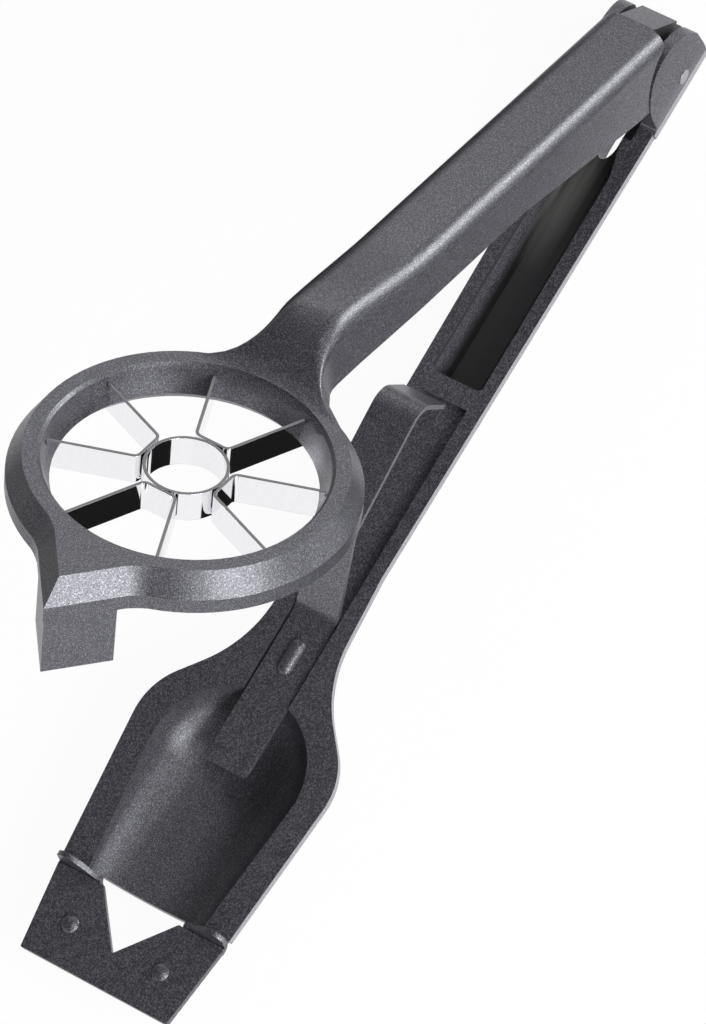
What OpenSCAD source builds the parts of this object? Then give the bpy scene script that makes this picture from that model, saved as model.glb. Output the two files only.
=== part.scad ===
// Hinged carving tool for radishes: a scoop with a V notch below, a star cutter and a V punch above.
// Frame: X runs from the hinge to the front, Y across, Z up.
// The origin lies on the rest plane, straight below the hinge axis.

/* [Overall] */
// Distance from the hinge axis to the front edge of the die plate
reach = 168; // [160:1:180]
// Angle between the arms as drawn
open_angle = 32.4; // [24:0.1:36]
// Height of the flange top above the rest plane
arm_depth = 9.5; // [9.2:0.1:11]
// Height of the hinge axis above the flange top
axis_rise = 2; // [1.8:0.1:2.4]

/* [Lower handle] */
// Half width of the flange at the hinge
flange_rear_hw = 7.3; // [7.1:0.1:7.6]
// Half width of the flange at its waist
flange_waist_hw = 6.3; // [6:0.1:6.8]
// Thickness of the flange edge
flange_t = 1.5; // [1.2:0.1:2]
// Half width of the handle pocket
pocket_hw = 4.6; // [4.2:0.1:4.8]
// Depth of the handle pocket below the flange top
pocket_d = 4.3; // [3.5:0.1:5]
// Half width of the pocket's floor
pocket_floor_hw = 2.6; // [2.5:0.1:3.4]
// Wall between the pocket and the spring bed
pocket_wall = 3.5; // [3:0.5:12]
// Depth of the spring bed in the neck
bed_d = 1.4; // [1:0.05:1.6]

/* [Bowl] */
// Length of the bowl opening, from its rear edge to its front edge
bowl_len = 36.4; // [35.4:0.1:38.4]
// Widest half width of the bowl opening
bowl_hw = 13; // [12:0.1:13.2]
// Half width of the bowl opening at its front edge
bowl_front_hw = 10.4; // [10:0.1:11]
// Depth of the bowl near its rear
bowl_d = 8; // [7:0.1:8.2]
// Depth of the bowl at its front edge
bowl_front_d = 3.8; // [3.5:0.1:4.5]
// Widest half width of the bowl's flange
rim_hw = 17.5; // [17:0.1:18]

/* [Die plate] */
// Length of the plate
plate_len = 14.2; // [13.5:0.1:15]
// Half width of the plate's rear edge
plate_rear_hw = 15.2; // [15:0.1:16]
// Half width of the plate's front edge
plate_front_hw = 13.4; // [13:0.1:14]
// Sheet thickness of the plate
plate_t = 1.2; // [1:0.1:1.5]
// Angle of the notch and the punch to the long axis
vee_angle = 39; // [36:1:42]
// Distance from the plate's front edge to the notch's apex
vee_land = 5.6; // [5:0.1:6.5]
// Height of the turned-up lips
lip_h = 3; // [2:0.1:3.6]

/* [Hinge] */
// Diameter of the hinge pin
pin_d = 2.5; // [2:0.1:3]
// Radial clearance of the pin in the knuckle
pin_play = 0.03; // [0.02:0.01:0.08]
// Radius of the ears
ear_r = 8.05; // [7.8:0.05:8.2]
// Half distance between the ears
ear_gap_hw = 4.5; // [4.3:0.1:4.7]
// Side clearance of the knuckle between the ears
ear_play = 0.15; // [0.1:0.05:0.3]

/* [Upper handle] */
// Half width of the handle at its lower edge
grip_hw = 7; // [6.6:0.1:7.2]
// Height of the handle's top above the hinge axis at the rear
grip_top = 9.9; // [9.6:0.1:10.2]
// Rise of the handle's top toward the shoulder
grip_rise = 1.75; // [1:0.05:2]
// Radius of the handle's top edges
grip_r = 3.2; // [2.4:0.1:3.4]
// Wall thickness of the hollow handle
grip_wall = 2; // [1.8:0.1:2.2]

/* [Cutter ring] */
// Distance from the ring's centre to the point of its tip
tip_len = 35.1; // [34.4:0.1:36.4]
// Height of the ring's top above the hinge axis
ring_top = 4.7; // [4.6:0.1:5]
// Height of the ring
ring_h = 6.1; // [5.8:0.1:6.2]
// Outer radius of the ring's rim
rim_r = 25.8; // [25.4:0.1:26]
// Outer radius of the flat land on top
land_r = 23.6; // [23.2:0.1:23.8]
// Radius of the hole at the top
hole_r = 20.9; // [20.6:0.1:21.2]
// Drop from the land to the rim's upper edge
bevel_d = 3.7; // [3:0.1:4.2]
// Blend radius between the ring and the tip
tip_blend = 14; // [10:1:18]
// Blend radius between the rim and the handle's lower edge
neck_blend = 7; // [5:0.5:8]

/* [Punch] */
// Depth of the punch below the ring's top
punch_d = 16; // [15:0.1:17]
// Gap between the punch and the notch, along X
punch_gap = 0.5; // [0.4:0.05:0.7]
// Wall thickness of the punch
punch_wall = 2.6; // [2:0.1:3.2]

/* [Star cutter] */
// Outer radius of the core ring
core_r = 6.3; // [6:0.1:7]
// Thickness of the blade strips and of the core ring
blade_t = 0.5; // [0.4:0.05:0.8]
// Height of the blades
blade_h = 5; // [4.6:0.1:5.1]
// Drop from the ring's top to the blades
blade_drop = 1.2; // [1:0.1:1.6]

/* [Leaf spring] */
// Width of the strip
spring_w = 7.6; // [7:0.1:8]
// Thickness of the strip
spring_t = 0.8; // [0.6:0.05:0.9]
// Height of the plateau's rear end above the flange top
spring_h = 15.9; // [14:0.1:16.2]
// Length of the tongue over the bowl
spring_overhang = 13.3; // [10:0.1:15]

/* [Hidden] */
$fn = 64;

// Fineness of hulled shapes and of rounded outlines
hull_fn = 40;
arc_steps = 10;
// Overshoot of a cut past the face that it opens, and thickness of a hull's end slices
cut = 1;
skin = 0.01;

// Lower arm: heights
axis_h = arm_depth + axis_rise;
flange_bot = arm_depth - flange_t;
pocket_floor = arm_depth - pocket_d;
bed_floor = arm_depth - bed_d;
plate_bot = arm_depth - plate_t;

// Lower arm: places along X, from the front back to the hinge
seat_gap = 1.4;
bed_clear = 2.9;
bed_lap = 2;
spring_tongue = 27.7;
spring_ramp = 11.2;
spring_deck = 21.6;
spring_tail = 3.4;
plate_rear = reach - plate_len;
bowl_front = plate_rear - seat_gap;
bowl_rear = bowl_front - bowl_len;
spring_tip = bowl_rear + spring_overhang;
spring_bend_x = spring_tip - spring_tongue;
spring_front_x = spring_bend_x - spring_ramp;
spring_rear_x = spring_front_x - spring_deck;
spring_end_x = spring_rear_x - spring_tail;
bed_start = spring_end_x - bed_clear;
pocket_end = bed_start - pocket_wall;
pocket_open_x = 19.5;
see_through_end = 15.8;
hub_slot_end = 7.5;
hub_relief = 4.9;
arm_rear = -4.3;

// Pad under the die plate
pad_inset = 1;
pad_overlap = 2;
pad_t = 2.4;

// Lower arm: the trough below the flange and the neck below the spring bed
belly_hw = 5.7;
belly_d = 9.2;
belly_lap = 0.2;
slot_hw = 3.6;
pocket_rear_hw = 1.9;
pocket_round = 1;
see_through_hw = 1.4;
see_through_round = 3;
neck_hw = 4.6;
neck_d = 5.5;
neck_run = 15.5;
neck_start = bed_start + neck_run;
bed_play = 0.35;
bed_hw = spring_w / 2 + bed_play;

// Lower arm: the flange's flare from the neck to the bowl
flare_run = 12;
waist_run = 12;
widest_run = 12;
flare_x = bowl_rear - flare_run;
waist_x = flare_x - waist_run;
flare_rise = 0.7;
flare_lead = 5;
flare_angle = 40;
widest_x = bowl_rear + widest_run;
taper_angle = atan((rim_hw - plate_rear_hw) / (plate_rear - widest_x));
flare_in_r = 21.6;
flare_out_r = 12;

// Bowl: the shell's wall
bowl_wall = 1.7;

// Die plate: notch and rivets
vee_x = reach - vee_land;
vee_slope = tan(vee_angle);
pad_vee_gap = 1.2;
die_rivet_inset = 6.5;
die_rivet_x = reach - die_rivet_inset;
die_rivet_y = 8.3;
die_rivet_r = 1.55;
die_rivet_head = 0.7;
die_rivet_tail = 0.4;
die_rivet_break = 0.3;
shank_r = 1.1;
lip_root = 7.6;
lip_t = 0.8;
lip_back = 0.5;
lip_lean = 0.6;
lip_bend = 0.9;
lip_swell = 1.5;
lip_sweep = 138;

// Hinge
ear_x = 1;
ear_out_hw = 7.4;
ear_top_hw = 6.2;
ear_rear = -6.3;
ear_front = ear_x + ear_r;
ear_foot_r = 1;
pin_proud = 0.1;
knuckle_hw = 3.15;
knuckle_corner = [-3.4, 6.8];
notch_x = 4.6;
knuckle_drop = 0.1;
knuckle_r = 7;
hub_r = 5.2;
hub_room = 0.6;
ear_room = 0.6;

// Upper arm: the punch's point, which swings into the notch, the tip and the ring's centre
punch_low = ring_top - punch_d;
punch_x = sqrt(pow(vee_x, 2) + pow(axis_rise, 2) - pow(punch_low, 2)) - punch_gap;
tip_lap = 0.3;
tip_x = punch_x + tip_lap;
ring_x = tip_x - tip_len;

// Upper arm: places along X and heights, both from the hinge axis
grip_rear = 4.3;
grip_top_hw = 5.85;
shoulder_back = 19.2;
shoulder_run = 14;
rise_run = 21.5;
shoulder_end = ring_x - shoulder_back;
shoulder_x = shoulder_end - shoulder_run;
rise_start = shoulder_x - rise_run;
shoulder_hw = 5.3;
shoulder_low_hw = 6.6;
shoulder_blend = 11;
grip_low = 1.6;
neck_gap = 0.9;
neck_x = ring_x - rim_r - neck_gap;
neck_step = 1;
grip_steps = 28;
low_run = 26;
grip_low_x = rise_start - low_run;
hollow_rear = 13;
hollow_hw = 4.3;
hollow_rise = 1;
hollow_crest = 3;
hollow_sill = 2.6;
hollow_web = 0.8;
hollow_end = ring_x - rim_r + hollow_web;
ring_low = ring_top - ring_h;
rim_z = ring_top - bevel_d;
bevel_out = rim_r - land_r;
wall_taper = 0.8;
wall_h = 3;
wall_low_r = hole_r - wall_taper;
wall_low_z = ring_top - wall_h;
seat_w = 1.5;
seat_d = 4.6;
seat_r = hole_r - seat_w;
seat_z = ring_top - seat_d;
skirt_w = 0.3;
skirt_r = hole_r - skirt_w;
edge_break = 0.5;

// Punch and tip
punch_lap = 0.6;
punch_back = plate_rear - punch_lap;
tip_top_x = tip_x - bevel_out / sin(vee_angle);
tip_depth = 14;
tip_root = ring_x + tip_depth;
blend_root = 1.5;
blend_lap = 0.1;
blend_depth = 6;

// Star cutter
blade_top = ring_top - blade_drop;
blade_low = blade_top - blade_h;
blade_seat = 0.5;
blade_end = hole_r - blade_seat;
blade_half = 22.5;
bend_r = (core_r + blade_t / 2) / cos(blade_half);
blade_round = 1.1;

// Leaf spring: the strip's middle line, as X and height above the flange top
spring_foot = spring_t / 2 - bed_d;
spring_dip = 3.8;
spring_hook = 8.1;
spring_path = [[spring_tip, spring_foot], [spring_bend_x, spring_foot],
               [spring_front_x, spring_h - spring_dip], [spring_rear_x, spring_h - spring_t / 2],
               [spring_end_x, spring_h - spring_hook]];
spring_round = 3.6;
spring_corner = 1.2;
spring_rivet_back = 20.1;
spring_rivet_x = spring_tip - spring_rivet_back;
spring_rivet_len = 6.4;
spring_rivet_w = 2.7;
spring_rivet_head = 0.9;
spring_rivet_lap = 0.2;
spring_rivet_root = 2.5;

// Colours
coat = [0.27, 0.27, 0.30];
steel = [0.82, 0.82, 0.84];

// Points of an arc about a centre, between two angles
function arc(centre, r, from, to) =
    [for (i = [0:arc_steps]) centre + r * [cos(from + (to - from) * i / arc_steps),
                                           sin(from + (to - from) * i / arc_steps)]];

function heading(a, b) = atan2(b.y - a.y, b.x - a.x);
function along(angle) = [cos(angle), sin(angle)];
function leftward(angle) = [-sin(angle), cos(angle)];
// Turn between two headings, from -180 to 180 degrees
function turn(a, b) = let (d = b - a) d > 180 ? d - 360 : d < -180 ? d + 360 : d;

// One rounded corner of a path, as pairs of a point and a heading
function corner(before, at, after, r) =
    let (a = heading(before, at), t = turn(a, heading(at, after)), side = sign(t))
    let (start = at - along(a) * r * tan(abs(t) / 2), centre = start + leftward(a) * side * r)
    [for (i = [0:arc_steps]) let (h = a + t * i / arc_steps) [centre - leftward(h) * side * r, h]];

// A path with rounded corners, as pairs of a point and a heading
function rounded(path, r) =
    let (n = len(path) - 1)
    concat([[path[0], heading(path[0], path[1])]],
           [for (i = [1:n - 1]) each corner(path[i - 1], path[i], path[i + 1], r)],
           [[path[n], heading(path[n - 1], path[n])]]);

// The outline of a strip of thickness t along a rounded path
function strip(steps, t) =
    concat([for (s = steps) s[0] + leftward(s[1]) * t / 2],
           [for (i = [len(steps) - 1:-1:0]) steps[i][0] - leftward(steps[i][1]) * t / 2]);

// An outline and its mirror image across the X axis, joined into one loop
function both_sides(half) = concat(half, [for (i = [len(half) - 1:-1:0]) [half[i].x, -half[i].y]]);
// The same across the Y axis of a section
function both_edges(half) = concat(half, [for (i = [len(half) - 1:-1:0]) [-half[i].x, half[i].y]]);

// Places children drawn about the hinge axis on the open upper arm
module on_upper_arm() {
    translate([0, 0, axis_h]) rotate([0, -open_angle, 0]) children();
}

// Extrudes an outline in X and Z across the width, centred on Y
module across(width) {
    rotate([90, 0, 0]) linear_extrude(width, center = true) children();
}

// Extrudes an outline in Y and Z along X
module lengthwise(from, to) {
    translate([from, 0, 0]) rotate([90, 0, 90]) linear_extrude(to - from) children();
}

module both_ways() {
    children();
    mirror([0, 1, 0]) children();
}

// Half outline of the flange, from the rear to the plate
flare_start = [flare_x, flange_waist_hw + flare_rise];
flare_in_c = flare_start + flare_in_r * [-sin(flare_lead), cos(flare_lead)];
flare_mid = flare_in_c + flare_in_r * [sin(flare_angle), -cos(flare_angle)];
flare_top_y = rim_hw - flare_out_r * (1 - cos(flare_angle));
flare_top = [flare_mid.x + (flare_top_y - flare_mid.y) / tan(flare_angle), flare_top_y];
flare_out_c = flare_top + flare_out_r * [sin(flare_angle), -cos(flare_angle)];
flange_half = concat(
    [[arm_rear, 0], [arm_rear, flange_rear_hw], [waist_x, flange_waist_hw]],
    arc(flare_in_c, flare_in_r, flare_lead - 90, flare_angle - 90),
    arc(flare_out_c, flare_out_r, 90 + flare_angle, 90 - taper_angle),
    [[bowl_front, plate_rear_hw + (plate_rear - bowl_front) * tan(taper_angle)], [bowl_front, 0]]);

module flange() {
    translate([0, 0, flange_bot]) linear_extrude(flange_t) polygon(both_sides(flange_half));
}

// Half ellipse that hangs from the flange, cut flat on the rest plane
module belly(hw, depth) {
    intersection() {
        polygon([for (i = [0:2 * arc_steps]) let (a = 180 + 180 * i / (2 * arc_steps))
                 [hw * cos(a), flange_bot + belly_lap + depth * sin(a)]]);
        translate([-hw, 0]) square([2 * hw, arm_depth]);
    }
}

// Body of the lower handle, running out into the neck
module trough() {
    lengthwise(arm_rear, bed_start) belly(belly_hw, belly_d);
    hull() {
        lengthwise(bed_start - cut, bed_start) belly(belly_hw, belly_d);
        lengthwise(neck_start, neck_start + cut) belly(neck_hw, neck_d);
    }
    lengthwise(neck_start, bowl_rear + bed_lap) belly(neck_hw, neck_d);
}

// Ellipsoid about a point of the flange top, of half sizes along X, Y and Z, grown by wall
module dish(x, length, hw, depth, wall) {
    translate([x, 0, arm_depth]) scale([length + wall, hw + wall, depth + wall]) sphere(1, $fn = hull_fn);
}

// Scoop with a deep round rear and a shallow front, grown by wall
module scoop(wall) {
    hull() {
        dish(bowl_rear + bowl_hw, bowl_hw, bowl_hw, bowl_d, wall);
        dish(plate_rear, bowl_front_d, bowl_front_hw, bowl_front_d, wall);
    }
}

// Room of the bowl from the rest plane up, to the given height and front end
module bowl_room(front, height) {
    rear = bowl_rear - bowl_d;
    translate([rear, -rim_hw, 0]) cube([front - rear, 2 * rim_hw, height]);
}

module bowl_shell() {
    intersection() {
        scoop(bowl_wall);
        bowl_room(bowl_front, arm_depth);
    }
}

module bowl_hollow() {
    intersection() {
        scoop(0);
        bowl_room(bowl_front + cut, arm_depth + bowl_d);
    }
}

// Outline of a V with its apex on the X axis, open to the rear
function vee(apex, rear) =
    [[apex, 0], [rear, (apex - rear) * vee_slope], [rear, (rear - apex) * vee_slope]];

// Pad under the die plate
module front_pad() {
    pad_rear = bowl_front - pad_overlap;
    pad_front = reach - pad_inset;
    translate([0, 0, plate_bot - pad_t]) linear_extrude(pad_t) difference() {
        polygon(both_sides([[pad_rear, 0], [pad_rear, plate_rear_hw - pad_inset],
                            [pad_front, plate_front_hw - pad_inset], [pad_front, 0]]));
        polygon(vee(vee_x + pad_vee_gap, bowl_front));
    }
}

// Side outline of an ear about the hinge axis: a round top, an upright rear and a filleted foot
module ear_outline() {
    foot = [ear_front + ear_foot_r, ear_foot_r - axis_rise];
    intersection() {
        translate([ear_x, 0]) circle(ear_r);
        translate([ear_rear, -ear_r]) square([ear_front - ear_rear + cut, 2 * ear_r]);
    }
    polygon(concat([[arm_rear, foot.y], [arm_rear, -axis_rise - flange_t], [foot.x, -axis_rise - flange_t]],
                   arc(foot, ear_foot_r, 270, 180)));
}

// One ear, drawn on the +Y side, its outer face leaning in
module ear() {
    intersection() {
        across(4 * ear_out_hw) translate([0, axis_h]) ear_outline();
        lengthwise(ear_rear - cut, ear_front + ear_foot_r + cut)
            polygon([[ear_gap_hw, flange_bot], [ear_out_hw, flange_bot], [ear_out_hw, axis_h],
                     [ear_top_hw, axis_h + ear_r], [ear_gap_hw, axis_h + ear_r]]);
    }
}

// Pocket of the lower handle: sloping sides, a taper toward the hinge and rounded corners
module pocket() {
    half = [[hub_slot_end, 0], [hub_slot_end, pocket_rear_hw], [pocket_open_x, pocket_hw],
            [pocket_end, pocket_hw], [pocket_end, 0]];
    intersection() {
        translate([0, 0, pocket_floor]) linear_extrude(pocket_d + cut)
            offset(pocket_round, $fn = hull_fn) offset(-pocket_round) polygon(both_sides(half));
        lengthwise(hub_slot_end - cut, pocket_end + cut)
            polygon(both_edges([[pocket_floor_hw, pocket_floor - cut], [pocket_floor_hw, pocket_floor],
                                [pocket_hw, arm_depth], [pocket_hw, arm_depth + 2 * cut]]));
    }
}

// Half outline of the hole in front of the hub, with a round front end
see_through_half = concat(
    [[hub_slot_end, 0], [hub_slot_end, see_through_hw]],
    [for (i = [0:arc_steps]) let (a = 90 * i / arc_steps)
     [see_through_end - see_through_round * (1 - sin(a)), see_through_hw * cos(a)]]);

// Room for the hub and the knuckle between the ears, and the open slot in front of them
module hinge_room() {
    rear = ear_rear - cut;
    hub_low = axis_h - hub_r - hub_room;
    knuckle_low = axis_h - knuckle_r - hub_room;
    translate([rear, -ear_gap_hw, hub_low])
        cube([hub_slot_end + hub_relief - rear, 2 * ear_gap_hw, 2 * arm_depth]);
    translate([rear, -slot_hw, knuckle_low]) cube([hub_slot_end + cut - rear, 2 * slot_hw, arm_depth]);
    translate([0, 0, -cut]) linear_extrude(2 * arm_depth) polygon(both_sides(see_through_half));
}

module spring_bed() {
    translate([bed_start, -bed_hw, bed_floor])
        cube([bowl_rear + bed_lap - bed_start, 2 * bed_hw, bed_d + cut]);
}

module lower_arm() {
    color(coat) difference() {
        union() {
            flange();
            trough();
            bowl_shell();
            front_pad();
            both_ways() ear();
        }
        pocket();
        hinge_room();
        spring_bed();
        bowl_hollow();
        spring_rivet_body(0);
        both_ways() die_rivet_body();
        translate([0, 0, axis_h]) rotate([90, 0, 0]) cylinder(4 * ear_out_hw, d = pin_d, center = true);
    }
}

module hinge_pin() {
    color(steel) translate([0, 0, axis_h]) rotate([90, 0, 0])
        cylinder(2 * (ear_out_hw + pin_proud), d = pin_d, center = true);
}

// Lip along the plate's rear edge on the +Y side: a curled strip with a leaf-shaped outline
module lip() {
    top = arm_depth + lip_h;
    mid = plate_bot + lip_t / 2;
    curl = rounded([[plate_rear + lip_t, mid], [plate_rear - lip_back, mid],
                    [plate_rear - lip_back - lip_lean, top + cut]], lip_bend);
    edge = [for (i = [0:2 * arc_steps]) let (u = i / (2 * arc_steps))
            [mix(lip_root, plate_rear_hw, u), arm_depth + lip_h * sin(lip_sweep * pow(u, lip_swell))]];
    intersection() {
        across(2 * plate_rear_hw) polygon(strip(curl, lip_t));
        lengthwise(bowl_front - lip_h, plate_rear + lip_t)
            polygon(concat([[plate_rear_hw, plate_bot], [lip_root, plate_bot]], edge));
    }
}

module die_plate() {
    color(coat) difference() {
        union() {
            translate([0, 0, plate_bot]) linear_extrude(plate_t) difference() {
                polygon(both_sides([[plate_rear, 0], [plate_rear, plate_rear_hw],
                                    [reach, plate_front_hw], [reach, 0]]));
                polygon(vee(vee_x, plate_rear - cut));
            }
            both_ways() lip();
        }
        both_ways() die_rivet_body();
    }
}

// Rivet of the die plate on the +Y side: domed head, shank and tail
module die_rivet_body() {
    pad_low = plate_bot - pad_t;
    tail_low = pad_low - die_rivet_tail;
    dome_r = (pow(die_rivet_r, 2) + pow(die_rivet_head, 2)) / (2 * die_rivet_head);
    dome_half = asin(die_rivet_r / dome_r);
    translate([die_rivet_x, die_rivet_y, 0]) rotate_extrude()
        polygon(concat([[0, tail_low], [die_rivet_r - die_rivet_break, tail_low], [die_rivet_r, pad_low],
                        [shank_r, pad_low], [shank_r, arm_depth]],
                       arc([0, arm_depth + die_rivet_head - dome_r], dome_r, 90 - dome_half, 90)));
}

module die_rivet_right() {
    color(coat) die_rivet_body();
}

module die_rivet_left() {
    color(coat) mirror([0, 1, 0]) die_rivet_body();
}

// Outline of the spring from above, with rounded front corners
module spring_plan() {
    hull() {
        both_ways() translate([spring_tip - spring_corner, spring_w / 2 - spring_corner])
            circle(spring_corner);
        translate([spring_end_x - cut, -spring_w / 2]) square([cut, spring_w]);
    }
}

module leaf_spring() {
    color(coat) difference() {
        intersection() {
            translate([0, 0, arm_depth]) across(2 * spring_w)
                polygon(strip(rounded(spring_path, spring_round), spring_t));
            linear_extrude(arm_depth + spring_h + cut) spring_plan();
        }
        spring_rivet_body(0);
    }
}

// Oblong rivet of the spring: a shank sunk in the neck, and a domed head of the given overlap
module spring_rivet_body(overlap) {
    high = bed_floor + spring_t;
    shank = spring_rivet_w / 2 - spring_rivet_lap;
    oblong(shank, bed_floor - spring_rivet_root, high);
    if (overlap > 0) dome(shank + overlap, high);
}

// Long rounded head of the given half width on the level low
module dome(hw, low) {
    r = (hw * hw + pow(spring_rivet_head, 2)) / (2 * spring_rivet_head);
    span = spring_rivet_len - spring_rivet_w;
    intersection() {
        translate([spring_rivet_x, 0, low + spring_rivet_head - r]) {
            for (end = [-1, 1]) translate([end * span / 2, 0, 0]) sphere(r);
            rotate([0, 90, 0]) cylinder(span, r = r, center = true);
        }
        translate([spring_rivet_x - spring_rivet_len, -spring_w / 2, low])
            cube([2 * spring_rivet_len, spring_w, r]);
    }
}

module oblong(r, low, high) {
    span = spring_rivet_len - spring_rivet_w;
    translate([spring_rivet_x, 0, low]) {
        for (end = [-1, 1]) translate([end * span / 2, 0, 0]) cylinder(high - low, r = r);
        translate([-span / 2, -r, 0]) cube([span, 2 * r, high - low]);
    }
}

module spring_rivet() {
    color(coat) spring_rivet_body(spring_rivet_lap);
}

// Ring with a bevelled outside, a tapered hole and a seat for the blades
module ring() {
    translate([ring_x, 0, 0]) rotate_extrude()
        polygon([[seat_r, ring_low], [rim_r, ring_low], [rim_r, rim_z], [land_r, ring_top],
                 [seat_r, ring_top]]);
}

module ring_hole() {
    translate([ring_x, 0, 0]) rotate_extrude()
        polygon([[0, ring_low - cut], [skirt_r, ring_low - cut], [skirt_r, ring_low], [seat_r, seat_z],
                 [wall_low_r, wall_low_z], [hole_r, ring_top - edge_break], [hole_r + edge_break, ring_top],
                 [hole_r + edge_break, ring_top + 2 * bevel_d], [0, ring_top + 2 * bevel_d]]);
}

// Pointed tip of the ring: straight below, bevelled above
module tip() {
    translate([0, 0, ring_low]) linear_extrude(rim_z - ring_low) polygon(vee(tip_x, tip_root));
    hull() {
        translate([0, 0, rim_z - skin]) linear_extrude(skin) polygon(vee(tip_x, tip_root));
        translate([0, 0, ring_top - skin]) linear_extrude(skin) polygon(vee(tip_top_x, tip_root));
    }
}

// Fills the corner between the ring and a straight side, on the +Y side, up to a round hollow:
// the hollow has its axis at centre and the fill reaches inward to the point inner
module blend(centre, r, inner) {
    to_ring = [ring_x, 0] - centre;
    on_ring = centre + to_ring * (1 - (seat_r + blend_root) / norm(to_ring));
    translate([0, 0, ring_low]) difference() {
        linear_extrude(ring_h) polygon([on_ring, centre, inner]);
        translate([centre.x, centre.y, -cut]) cylinder(ring_h - bevel_d + cut + skin, r = r);
        translate([centre.x, centre.y, ring_h - bevel_d]) cylinder(bevel_d, r1 = r, r2 = r + bevel_out);
    }
}

// Centre of a circle of radius r that laps the rim and a straight side:
// start is a point on that side, side its direction and out its outward normal
function blend_centre(start, side, out, r) =
    let (near = r - blend_lap, base = start + near * out - [ring_x, 0], b = base * side)
    start + near * out + side * (-b - sqrt(b * b - base * base + pow(rim_r + near, 2)));

module tip_blends() {
    out = [sin(vee_angle), cos(vee_angle)];
    centre = blend_centre([tip_x, 0], [-cos(vee_angle), sin(vee_angle)], out, tip_blend);
    both_ways() blend(centre, tip_blend, centre - out * (tip_blend + blend_depth));
}

// V-shaped punch below the tip, open to the rear
module punch() {
    translate([0, 0, punch_low]) linear_extrude(ring_low - punch_low + cut) difference() {
        polygon(vee(punch_x, punch_back));
        polygon(vee(punch_x - punch_wall / sin(vee_angle), punch_back - cut));
    }
}

// Step from 0 at a to 1 at b, level at both ends
function ease(a, b, x) = let (u = min(1, max(0, (x - a) / (b - a)))) u * u * (3 - 2 * u);
function mix(a, b, u) = a + (b - a) * u;

// Half width at x of a side at hw that a fillet of radius r joins to a circle of radius big round the ring
function flared(x, hw, r, big) =
    let (c = [ring_x - sqrt(pow(big + r, 2) - pow(hw + r, 2)), hw + r])
    let (touch = mix(c.x, ring_x, r / (big + r)))
    x < c.x ? hw : x < touch ? c.y - sqrt(r * r - pow(x - c.x, 2)) : sqrt(big * big - pow(ring_x - x, 2));

// Half section of the handle at x: lower edge, bevel edge and rounded top edge
function grip_half(x) =
    let (rise = ease(rise_start, shoulder_x, x), fall = ease(shoulder_x, shoulder_end, x))
    let (top = mix(grip_top + grip_rise * rise, ring_top, fall), r = mix(grip_r, edge_break, fall))
    let (low_hw = flared(x, mix(grip_hw, shoulder_low_hw, rise), neck_blend, rim_r - blend_lap))
    let (top_hw = flared(x, mix(grip_top_hw, shoulder_hw, rise), shoulder_blend, land_r - blend_lap))
    let (side_hw = mix(low_hw, top_hw, (rim_z - ring_low) / (top - r - ring_low)))
    concat([[low_hw, ring_low], [mix(side_hw, low_hw, fall), rim_z]],
           arc([top_hw - r, top - r], r, 0, 90));

// Outside of the handle and its shoulder, up to the ring's hole
module grip() {
    front = ring_x - seat_r + cut;
    places = concat([grip_rear], [for (i = [0:grip_steps]) mix(rise_start, front, i / grip_steps)]);
    rows = [for (x = places) [for (q = both_edges(grip_half(x))) [x, q.x, q.y]]];
    n = len(rows[0]);
    last = len(rows) - 1;
    ends = [[for (j = [0:n - 1]) j], [for (j = [n - 1:-1:0]) last * n + j]];
    sides = [for (i = [0:last - 1], j = [0:n - 1])
             let (a = i * n + j, b = i * n + (j + 1) % n) each [[a, a + n, b], [b, a + n, b + n]]];
    polyhedron([for (row = rows) each row], concat(ends, sides));
}

// Rising lower edge of the handle
module grip_underside() {
    across(4 * grip_hw)
        polygon([[hollow_rear, ring_low - cut], [hollow_rear, ring_low], [grip_low_x, grip_low],
                 [neck_x - neck_step, grip_low], [neck_x, ring_low], [neck_x, ring_low - cut]]);
}

// Hollow of the handle, open below, that takes the pressed spring
module grip_hollow() {
    roof = grip_top - grip_wall;
    across(2 * hollow_hw)
        polygon([[hollow_rear, ring_low - cut], [hollow_rear, roof], [rise_start, roof],
                 [shoulder_x - hollow_crest, roof + hollow_rise], [shoulder_x, roof + hollow_rise],
                 [hollow_end, ring_low + hollow_sill], [hollow_end, ring_low - cut]]);
}

// Room for one ear beside the knuckle, on the +Y side, over the whole swing
module ear_slot() {
    for (swing = [0, open_angle])
        rotate([0, swing, 0]) translate([ear_x, knuckle_hw, 0]) rotate([-90, 0, 0])
            cylinder(3 * grip_hw, r = ear_r + ear_room);
    translate([notch_x - grip_top, knuckle_hw, ear_r / 2]) cube(grip_top);
}

module knuckle() {
    top = grip_top - knuckle_drop;
    across(2 * knuckle_hw) {
        circle(knuckle_r);
        polygon([knuckle_corner, [notch_x, top], [hollow_rear, top], [hollow_rear, ring_low],
                 [0, -knuckle_r]]);
    }
    rotate([90, 0, 0]) cylinder(2 * (ear_gap_hw - ear_play), r = hub_r, center = true);
}

// Slots in the ring that hold the ends of the blades
module blade_slots() {
    translate([ring_x, 0, 0]) for (k = [0:7]) rotate([0, 0, blade_half + 45 * k])
        translate([seat_r - 2 * cut, -blade_t / 2, ring_low - cut])
            cube([blade_end - seat_r + 2 * cut, blade_t, blade_top - ring_low + cut]);
}

module upper_arm() {
    color(coat) on_upper_arm() difference() {
        union() {
            difference() {
                grip();
                both_ways() ear_slot();
                grip_underside();
            }
            ring();
            tip();
            tip_blends();
            punch();
            knuckle();
        }
        grip_hollow();
        ring_hole();
        blade_slots();
        rotate([90, 0, 0]) cylinder(4 * grip_hw, r = pin_d / 2 + pin_play, center = true);
    }
}

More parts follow.
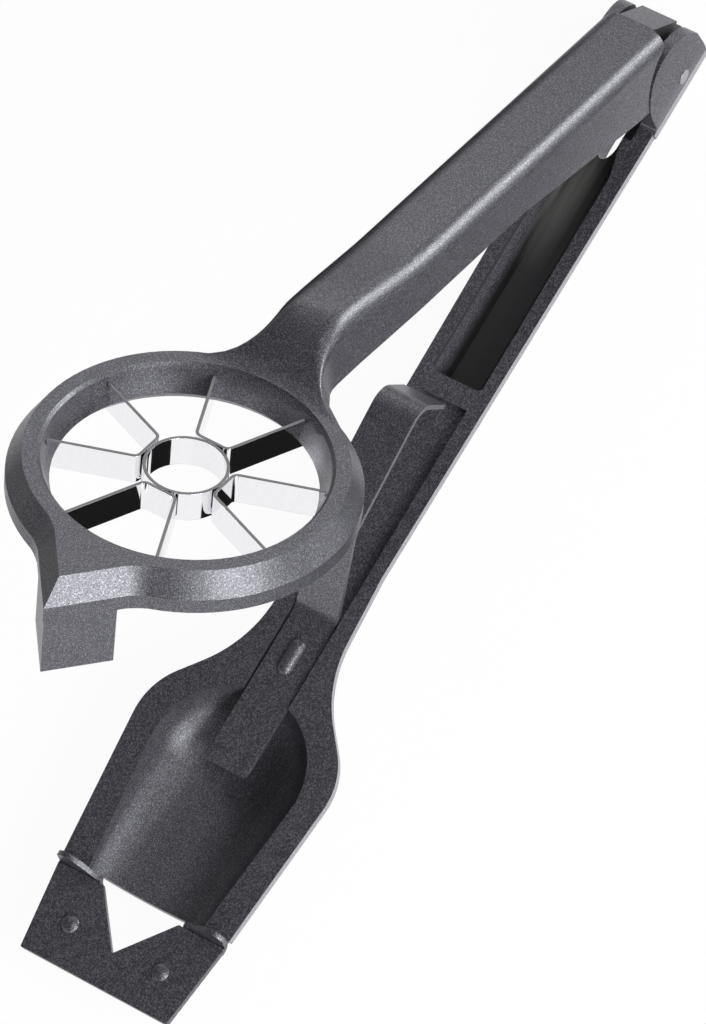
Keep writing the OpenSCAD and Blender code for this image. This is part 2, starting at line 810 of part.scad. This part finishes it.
// One strip of the star: two blades joined by a flat against the core ring
module blade(direction) {
    legs = [for (r = [blade_end, bend_r]) r * along(blade_half)];
    path = [legs[0], legs[1], [legs[1].x, -legs[1].y], [legs[0].x, -legs[0].y]];
    color(steel) on_upper_arm() translate([ring_x, 0, blade_low]) rotate([0, 0, direction])
        linear_extrude(blade_h) polygon(strip(rounded(path, blade_round), blade_t));
}

module core_ring() {
    color(steel) on_upper_arm() translate([ring_x, 0, blade_low]) difference() {
        cylinder(blade_h, r = core_r);
        translate([0, 0, -cut]) cylinder(blade_h + 2 * cut, r = core_r - blade_t);
    }
}

lower_arm();
upper_arm();
hinge_pin();
die_plate();
die_rivet_left();
die_rivet_right();
leaf_spring();
spring_rivet();
blade(0);  // blade_front
blade(90);  // blade_right
blade(180);  // blade_rear
blade(270);  // blade_left
core_ring();
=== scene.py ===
"""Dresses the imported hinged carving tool: coated castings, polished strips, studio light and camera."""
import math

import bpy
from mathutils import Matrix, Vector


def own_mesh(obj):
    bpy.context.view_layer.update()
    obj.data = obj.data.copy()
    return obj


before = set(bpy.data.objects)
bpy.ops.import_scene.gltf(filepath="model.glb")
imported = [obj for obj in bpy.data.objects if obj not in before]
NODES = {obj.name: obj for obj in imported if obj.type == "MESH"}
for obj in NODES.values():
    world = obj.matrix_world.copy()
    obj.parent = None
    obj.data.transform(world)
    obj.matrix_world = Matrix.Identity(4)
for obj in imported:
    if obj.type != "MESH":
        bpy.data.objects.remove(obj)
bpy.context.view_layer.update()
MM = 0.001

# Camera: place, the point it looks at on the rest plane, its roll, its lens and its range in metres
CAMERA_PLACE = Vector((284.19, 368.05, 941.12)) * MM
CAMERA_AIM = Vector((82.75, -7.14, 0.0)) * MM
CAMERA_ROLL = math.radians(-32.92)
CAMERA_LENS = 234.22
CAMERA_RANGE = (0.05, 20.0)

# Rounding of the edges: widths by kind of piece, steps, and the least turn of an edge that is rounded
CAST_ROUND = 0.8 * MM
SHEET_ROUND = 0.18 * MM
STRIP_ROUND = 0.08 * MM
ROUND_STEPS = 3
ROUND_FROM = math.radians(28)

# Points closer than the gap, and faces flatter than the angle, are joined before the rounding
WELD_GAP = 0.002 * MM
FLAT_ANGLE = math.radians(0.6)

# Levels of a noise between which a gloss or a steel's tone changes
NOISE_STOPS = (0.3, 0.7)

# Sprayed coat: its tones, its grain and mottle per metre, its gloss and the depth of its grainy skin
COAT_TONE = (0.017, 0.017, 0.021)
FLECK_TONE = (0.21, 0.21, 0.24)
# Painted shade: black laid over the coat in the pocket and in the hinge's gaps
PAINTED_SHADE_BLACK = (0.008, 0.008, 0.008)
GRAIN = 5000.0
GLOSS_GRAIN = GRAIN * 0.6
SKIN_GRAIN = GRAIN * 0.8
GRAIN_ROUGH = 0.6
FLECK_STOPS = (0.46, 0.70)
FLECK_METAL = 0.7
MOTTLE = 300.0
MOTTLE_DETAIL = 3.0
MOTTLE_STOPS = (0.35, 0.65)
MOTTLE_LIFT = 1.25
COAT_GLOSS = (0.30, 0.44)
COAT_SPECULAR = 0.8
COAT_TINT = (0.93, 0.94, 1.0, 1)
SKIN_STRENGTH = 0.6
CAST_SKIN = 0.028 * MM
SHEET_SKIN = 0.025 * MM

# Height of the skin where a patch makes it smooth
SMOOTH_LEVEL = 0.5

# Lower casting: its flange's edge, as heights, and how far that faces outward; the edge's smooth finish is
# its own, its lighter tone a painted sheen
FLANGE_EDGE = (7.9 * MM, 9.52 * MM)
FLANGE_OUTWARD = 0.4
FLANGE_SHEEN_TONE = (0.20, 0.20, 0.22)
FLANGE_GLOSS = 0.35

# Lower casting: its pocket, whose inside gets painted shade, as lengths, half width and heights
POCKET_X = (8.0 * MM, 60.5 * MM)
POCKET_Y = 4.65 * MM
POCKET_Z = (4.9 * MM, 9.3 * MM)
POCKET_GLOSS = 0.28

# Shares of the pocket's height between which its painted shade, black below, turns into the coat
POCKET_SHADE_SHARE = 0.66
POCKET_COAT = 0.85

# Painted reflections: lighter streaks along the pocket, which fade between two shares of its length
REFLECTION_STREAK_TONE = (0.16, 0.155, 0.145)
STREAK_GLOSS = 0.35
STREAK_STRETCH = (0.06, 1.0, 1.0)
STREAK_SCALE = 450.0
STREAK_DETAIL = 1.0
STREAK_STOPS = (0.40, 0.62)
STREAK_FADE = (0.3, 0.62)

# Faces beside the hinge's gaps, which get black as painted shade, by their distance from the middle plane,
# and how far they face sideways
EAR_INSIDE = (4.4 * MM, 4.6 * MM)
KNUCKLE_SIDE = (3.05 * MM, 3.25 * MM)
SIDEWAYS = 0.9
GAP_GLOSS = 0.5

# Polished strips and the pin: tone, roughness and stretch of their fine lines
STRIP_TONE = (0.88, 0.88, 0.90)
STRIP_ROUGH = 0.05
STRIP_STRETCH = (1.0, 1.0, 0.1)
PIN_TONE = (0.42, 0.42, 0.44)
PIN_ROUGH = 0.35
PIN_STRETCH = (0.1, 1.0, 1.0)

# Fine lines of the steel: scale per metre, and shares of its tone, its roughness and a bump
LINE_SCALE = 1500.0
LINE_DETAIL = 3.0
LINE_DIM = 0.97
LINE_GLOSS = (0.7, 1.5)
LINE_STRENGTH = 0.05
LINE_DEPTH = 0.002 * MM

# Sheared edges of the strips, which face along the axis of the cutter ring as drawn, with the arm open
OPEN_ANGLE = math.radians(32.4)
RING_AXIS = (-math.sin(OPEN_ANGLE), 0.0, math.cos(OPEN_ANGLE))
EDGE_FACING = 0.5
EDGE_TONE = (0.20, 0.20, 0.21)
EDGE_GLOSS = 0.45

# Floor: its size, its middle just below the object, its tone, and the share of white that is seen of it
FLOOR_SIZE = 4.0
FLOOR_PLACE = (0.1, 0.0, -0.0005)
FLOOR_TONE = (0.92, 0.92, 0.92, 1)
BACKGROUND_SHARE = 0.95

# Dark flags beside and behind the object, which only mirrors see: name, two corners in millimetres
FLAGS = (("flag_right", (-40.0, 24.0), (180.0, 135.0)),
         ("flag_left", (60.0, -600.0), (400.0, -230.0)),
         ("flag_rear", (-300.0, -600.0), (60.0, -40.0)))
FLAG_HEIGHT = 1.0 * MM
FLAG_TONE = (0.01, 0.01, 0.01, 1)

# Roughness of the floor and the flags
STAGE_ROUGH = 0.9

# Soft lights that face the object's middle: name, direction, distance, width and height, power
CENTRE = Vector((90.0, 0.0, 40.0)) * MM
LIGHTS = (("key", (0.15, 0.83, 0.53), 0.7, (0.40, 0.30), 4.4),
          ("side", (0.72, 0.58, 0.32), 0.7, (0.25, 0.20), 1.6),
          ("over", (-0.10, 0.50, 0.86), 0.9, (0.5, 0.5), 1.7),
          ("top", (-0.52, -0.34, 0.78), 0.9, (0.35, 0.35), 0.35),
          ("strip", (-0.80, 0.59, 0.06), 0.8, (0.45, 0.20), 4.0),
          ("rear", (-0.85, -0.39, 0.36), 0.9, (0.7, 0.4), 1.3),
          ("front", (0.92, -0.39, 0.04), 0.9, (0.5, 0.12), 0.7))

# Surround: bright at the horizon, dim overhead, with the heights between which it changes
HORIZON = 0.7
ZENITH = 0.06
SKY_STOPS = (0.1, 0.45)


def new_material(name):
    """A material with its node tree and its shader."""
    mat = bpy.data.materials.new(name)
    mat.use_nodes = True
    tree = mat.node_tree
    return mat, tree, tree.nodes["Principled BSDF"]


def coordinates(tree, kind):
    """A socket of coordinates: Object in metres, Normal for the surface's direction, or Generated."""
    return tree.nodes.new("ShaderNodeTexCoord").outputs[kind]


def rgba(colour):
    """A colour or grey with full opacity."""
    return (*colour, 1) if isinstance(colour, (tuple, list)) else (colour, colour, colour, 1)


def noise(tree, place, scale, detail=2.0, rough=0.5):
    """Noise with its own scale per metre."""
    n = tree.nodes.new("ShaderNodeTexNoise")
    n.inputs["Scale"].default_value = scale
    n.inputs["Detail"].default_value = detail
    n.inputs["Roughness"].default_value = rough
    tree.links.new(place, n.inputs["Vector"])
    return n.outputs["Fac"]


def stretched(tree, place, scale):
    """Coordinates scaled along each axis."""
    m = tree.nodes.new("ShaderNodeMapping")
    m.inputs["Scale"].default_value = scale
    tree.links.new(place, m.inputs["Vector"])
    return m.outputs["Vector"]


def ramp(tree, value, stops, colours):
    """A change over value from one colour or grey to another, between two stops."""
    r = tree.nodes.new("ShaderNodeValToRGB")
    for element, at, colour in zip(r.color_ramp.elements, stops, colours):
        element.position = at
        element.color = rgba(colour)
    tree.links.new(value, r.inputs["Fac"])
    return r.outputs["Color"]


def maths(tree, operation, a, b=0.0):
    """A math node on two sockets or numbers."""
    m = tree.nodes.new("ShaderNodeMath")
    m.operation = operation
    for socket, value in zip(m.inputs, (a, b)):
        if isinstance(value, (int, float)):
            socket.default_value = value
        else:
            tree.links.new(value, socket)
    return m.outputs["Value"]


def parts_of(tree, vector):
    """The three components of a vector socket."""
    s = tree.nodes.new("ShaderNodeSeparateXYZ")
    tree.links.new(vector, s.inputs["Vector"])
    return s.outputs["X"], s.outputs["Y"], s.outputs["Z"]


def between(tree, value, span):
    """1 where value lies in the span, else 0."""
    low, high = span
    above = maths(tree, "GREATER_THAN", value, low)
    below = maths(tree, "LESS_THAN", value, high)
    return maths(tree, "MULTIPLY", above, below)


def mixed(tree, share, below, above):
    """A plain colour or grey over a socket by share."""
    m = tree.nodes.new("ShaderNodeMix")
    m.data_type = "RGBA"
    tree.links.new(share, m.inputs["Factor"])
    tree.links.new(below, m.inputs["A"])
    m.inputs["B"].default_value = rgba(above)
    return m.outputs["Result"]


def bump(tree, height, strength, distance):
    """A bump of the given depth in metres."""
    b = tree.nodes.new("ShaderNodeBump")
    b.inputs["Strength"].default_value = strength
    b.inputs["Distance"].default_value = distance
    tree.links.new(height, b.inputs["Height"])
    return b.outputs["Normal"]


def flange_edge_sheen(tree, place):
    """Share of the trimmed outer edge of the lower casting's flange, whose lighter tone is a painted
    sheen.
    """
    y, z = parts_of(tree, place)[1:]
    ny = parts_of(tree, coordinates(tree, "Normal"))[1]
    outward = maths(tree, "MULTIPLY", maths(tree, "SIGN", y), ny)
    outward = maths(tree, "GREATER_THAN", outward, FLANGE_OUTWARD)
    return maths(tree, "MULTIPLY", between(tree, z, FLANGE_EDGE), outward)


def painted_pocket_shade(tree, place):
    """Share of the smooth inside of the lower handle's pocket, painted black as painted shade that gives
    way to the coat towards its rim.
    """
    x, y, z = parts_of(tree, place)
    inside = maths(tree, "LESS_THAN", maths(tree, "ABSOLUTE", y), POCKET_Y)
    low = ramp(tree, maths(tree, "DIVIDE", z, POCKET_Z[1]), (POCKET_SHADE_SHARE, POCKET_COAT), (1.0, 0.0))
    level = maths(tree, "MULTIPLY", maths(tree, "GREATER_THAN", z, POCKET_Z[0]), low)
    return maths(tree, "MULTIPLY", inside, maths(tree, "MULTIPLY", between(tree, x, POCKET_X), level))


def painted_pocket_reflections(tree, place):
    """Share of the painted reflections, soft lighter streaks along the pocket, which fade away from the
    hinge.
    """
    lines = noise(tree, stretched(tree, place, STREAK_STRETCH), STREAK_SCALE, STREAK_DETAIL)
    lines = ramp(tree, lines, STREAK_STOPS, (0.0, 1.0))
    x = parts_of(tree, place)[0]
    fade = ramp(tree, maths(tree, "DIVIDE", x, POCKET_X[1]), STREAK_FADE, (1.0, 0.0))
    return maths(tree, "MULTIPLY", painted_pocket_shade(tree, place), maths(tree, "MULTIPLY", lines, fade))


def side_face(span):
    """A share of the upright faces that lie in a span of distances from the middle plane."""
    def share(tree, place):
        y = parts_of(tree, place)[1]
        ny = parts_of(tree, coordinates(tree, "Normal"))[1]
        sideways = maths(tree, "GREATER_THAN", maths(tree, "ABSOLUTE", ny), SIDEWAYS)
        return maths(tree, "MULTIPLY", between(tree, maths(tree, "ABSOLUTE", y), span), sideways)
    return share


def strip_edge(tree, _place):
    """Share of the sheared edges of the star's strips, which face along the ring's axis."""
    along = tree.nodes.new("ShaderNodeVectorMath")
    along.operation = "DOT_PRODUCT"
    along.inputs[1].default_value = RING_AXIS
    tree.links.new(coordinates(tree, "Normal"), along.inputs[0])
    return maths(tree, "GREATER_THAN", maths(tree, "ABSOLUTE", along.outputs["Value"]), EDGE_FACING)


def coat(name, depth, patches=()):
    """Sprayed coat: fine flecks on a mottled tone and a grainy skin; patches are share, tone and gloss."""
    mat, tree, shader = new_material(name)
    place = coordinates(tree, "Object")
    flecks = ramp(tree, noise(tree, place, GRAIN, rough=GRAIN_ROUGH), FLECK_STOPS, (0.0, 1.0))
    lifted = [c * MOTTLE_LIFT for c in COAT_TONE]
    tone = ramp(tree, noise(tree, place, MOTTLE, MOTTLE_DETAIL), MOTTLE_STOPS, (COAT_TONE, lifted))
    tone = mixed(tree, flecks, tone, FLECK_TONE)
    gloss = ramp(tree, noise(tree, place, GLOSS_GRAIN), NOISE_STOPS, COAT_GLOSS)
    skin = noise(tree, place, SKIN_GRAIN, rough=GRAIN_ROUGH)
    metal = maths(tree, "MULTIPLY", flecks, FLECK_METAL)
    for share_of, patch_tone, patch_gloss in patches:
        share = share_of(tree, place)
        tone = mixed(tree, share, tone, patch_tone)
        gloss = mixed(tree, share, gloss, patch_gloss)
        skin = mixed(tree, share, skin, SMOOTH_LEVEL)
        metal = mixed(tree, share, metal, 0.0)
    tree.links.new(tone, shader.inputs["Base Color"])
    tree.links.new(metal, shader.inputs["Metallic"])
    tree.links.new(gloss, shader.inputs["Roughness"])
    tree.links.new(bump(tree, skin, SKIN_STRENGTH, depth), shader.inputs["Normal"])
    shader.inputs["Specular IOR Level"].default_value = COAT_SPECULAR
    shader.inputs["Specular Tint"].default_value = COAT_TINT
    return mat


def steel(name, tone, rough, stretch, patches=()):
    """Polished steel with fine lines along one axis; patches are share, tone and gloss."""
    mat, tree, shader = new_material(name)
    place = coordinates(tree, "Object")
    lines = noise(tree, stretched(tree, place, stretch), LINE_SCALE, LINE_DETAIL)
    gloss = ramp(tree, lines, NOISE_STOPS, [rough * share for share in LINE_GLOSS])
    colour = ramp(tree, lines, NOISE_STOPS, ([c * LINE_DIM for c in tone], tone))
    for share_of, patch_tone, patch_gloss in patches:
        share = share_of(tree, place)
        colour = mixed(tree, share, colour, patch_tone)
        gloss = mixed(tree, share, gloss, patch_gloss)
    tree.links.new(gloss, shader.inputs["Roughness"])
    tree.links.new(colour, shader.inputs["Base Color"])
    tree.links.new(bump(tree, lines, LINE_STRENGTH, LINE_DEPTH), shader.inputs["Normal"])
    shader.inputs["Metallic"].default_value = 1.0
    return mat


def dress(node, mat, width):
    """Gives a CAD node its material and softly rounded edges."""
    piece = NODES[node]
    piece.data.materials.clear()
    piece.data.materials.append(mat)
    weld = piece.modifiers.new("weld", "WELD")
    weld.merge_threshold = WELD_GAP
    flat = piece.modifiers.new("flat", "DECIMATE")
    flat.decimate_type = "DISSOLVE"
    flat.angle_limit = FLAT_ANGLE
    bevel = piece.modifiers.new("round", "BEVEL")
    bevel.width = width
    bevel.segments = ROUND_STEPS
    bevel.limit_method = "ANGLE"
    bevel.angle_limit = ROUND_FROM
    bevel.use_clamp_overlap = True
    bevel.harden_normals = False
    piece.modifiers.new("shade", "WEIGHTED_NORMAL")


# Painted shade: black on the knuckle's sides in the hinge's gaps
CAST = coat("cast_coat", CAST_SKIN, [(side_face(KNUCKLE_SIDE), PAINTED_SHADE_BLACK, GAP_GLOSS)])
LOWER_CAST = coat("lower_cast_coat", CAST_SKIN,
                  # Painted sheen: a lighter tone on the flange's outer edge
                  [(flange_edge_sheen, FLANGE_SHEEN_TONE, FLANGE_GLOSS),
                   # Painted shade: the pocket's inside black, deepest at its floor
                   (painted_pocket_shade, PAINTED_SHADE_BLACK, POCKET_GLOSS),
                   # Painted reflections: lighter streaks in the pocket
                   (painted_pocket_reflections, REFLECTION_STREAK_TONE, STREAK_GLOSS),
                   # Painted shade: black on the ears' inner faces in the hinge's gaps
                   (side_face(EAR_INSIDE), PAINTED_SHADE_BLACK, GAP_GLOSS)])
SHEET = coat("sheet_coat", SHEET_SKIN)
STEEL = steel("polished_strip", STRIP_TONE, STRIP_ROUGH, STRIP_STRETCH,
              [(strip_edge, EDGE_TONE, EDGE_GLOSS)])
PIN = steel("pin_steel", PIN_TONE, PIN_ROUGH, PIN_STRETCH)

dress("lower_arm", LOWER_CAST, CAST_ROUND)
dress("upper_arm", CAST, CAST_ROUND)
for sheet_node in ("die_plate", "die_rivet_left", "die_rivet_right", "leaf_spring", "spring_rivet"):
    dress(sheet_node, SHEET, SHEET_ROUND)
for strip_node in ("blade_front", "blade_right", "blade_rear", "blade_left", "core_ring"):
    dress(strip_node, STEEL, STRIP_ROUND)
dress("hinge_pin", PIN, STRIP_ROUND)

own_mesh(NODES["leaf_spring"])


def area_light(name, direction, distance, size, power):
    """A soft light in a direction from the object's middle, which it faces."""
    data = bpy.data.lights.new(name, "AREA")
    data.shape = "RECTANGLE"
    data.size, data.size_y = size
    data.energy = power
    place = CENTRE + Vector(direction).normalized() * distance
    lamp = bpy.data.objects.new(name, data)
    lamp.location = place
    lamp.visible_camera = False
    lamp.rotation_euler = (CENTRE - place).to_track_quat("-Z", "Y").to_euler()
    bpy.context.scene.collection.objects.link(lamp)


def lit_background(tree, surface):
    """A white look for the eye and for mirrors, over the shader that takes the light."""
    glow = tree.nodes.new("ShaderNodeEmission")
    rays = tree.nodes.new("ShaderNodeLightPath")
    seen = maths(tree, "MAXIMUM", rays.outputs["Is Camera Ray"], rays.outputs["Is Glossy Ray"])
    seen = maths(tree, "MAXIMUM", seen, rays.outputs["Is Transmission Ray"])
    blend = tree.nodes.new("ShaderNodeMixShader")
    tree.links.new(maths(tree, "MULTIPLY", seen, BACKGROUND_SHARE), blend.inputs["Fac"])
    tree.links.new(surface, blend.inputs[1])
    tree.links.new(glow.outputs["Emission"], blend.inputs[2])
    return blend.outputs["Shader"]


# Camera
cam_data = bpy.data.cameras.new("camera")
cam_data.lens = CAMERA_LENS
cam_data.clip_start, cam_data.clip_end = CAMERA_RANGE
cam = bpy.data.objects.new("camera", cam_data)
turn = (CAMERA_AIM - CAMERA_PLACE).to_track_quat("-Z", "Y").to_matrix()
turn = turn @ Matrix.Rotation(CAMERA_ROLL, 3, "Z")
cam.matrix_world = Matrix.Translation(CAMERA_PLACE) @ turn.to_4x4()
bpy.context.scene.collection.objects.link(cam)
bpy.context.scene.camera = cam

# A pale floor that keeps a faint shadow
bpy.ops.mesh.primitive_plane_add(size=FLOOR_SIZE, location=FLOOR_PLACE)
floor = bpy.context.object
floor.name = "floor"
floor_mat, floor_tree, floor_shader = new_material("floor")
floor_shader.inputs["Base Color"].default_value = FLOOR_TONE
floor_shader.inputs["Roughness"].default_value = STAGE_ROUGH
floor_look = lit_background(floor_tree, floor_shader.outputs["BSDF"])
floor_tree.links.new(floor_look, floor_tree.nodes["Material Output"].inputs["Surface"])
floor.data.materials.append(floor_mat)

# Flags
flag_mat, _, flag_shader = new_material("flag")
flag_shader.inputs["Base Color"].default_value = FLAG_TONE
flag_shader.inputs["Specular IOR Level"].default_value = 0.0
flag_shader.inputs["Roughness"].default_value = STAGE_ROUGH
for flag_name, low, high in FLAGS:
    centre = [(a + b) / 2 * MM for a, b in zip(low, high)]
    bpy.ops.mesh.primitive_plane_add(size=1.0, location=(*centre, FLAG_HEIGHT))
    flag = bpy.context.object
    flag.name = flag_name
    flag.scale = (*[(b - a) * MM for a, b in zip(low, high)], 1.0)
    flag.visible_camera = False
    flag.visible_diffuse = False
    flag.visible_shadow = False
    flag.data.materials.append(flag_mat)

for light in LIGHTS:
    area_light(*light)

# Surround, white to the eye
world = bpy.data.worlds.new("surround")
world.use_nodes = True
sky = world.node_tree
sky_up = parts_of(sky, coordinates(sky, "Generated"))[2]
sky_tone = ramp(sky, sky_up, SKY_STOPS, (HORIZON, ZENITH))
sky_ray = sky.nodes.new("ShaderNodeLightPath")
sky_tone = mixed(sky, sky_ray.outputs["Is Camera Ray"], sky_tone, 1.0)
sky.links.new(sky_tone, sky.nodes["Background"].inputs["Color"])
bpy.context.scene.world = world
bpy.context.scene.view_settings.view_transform = "Standard"
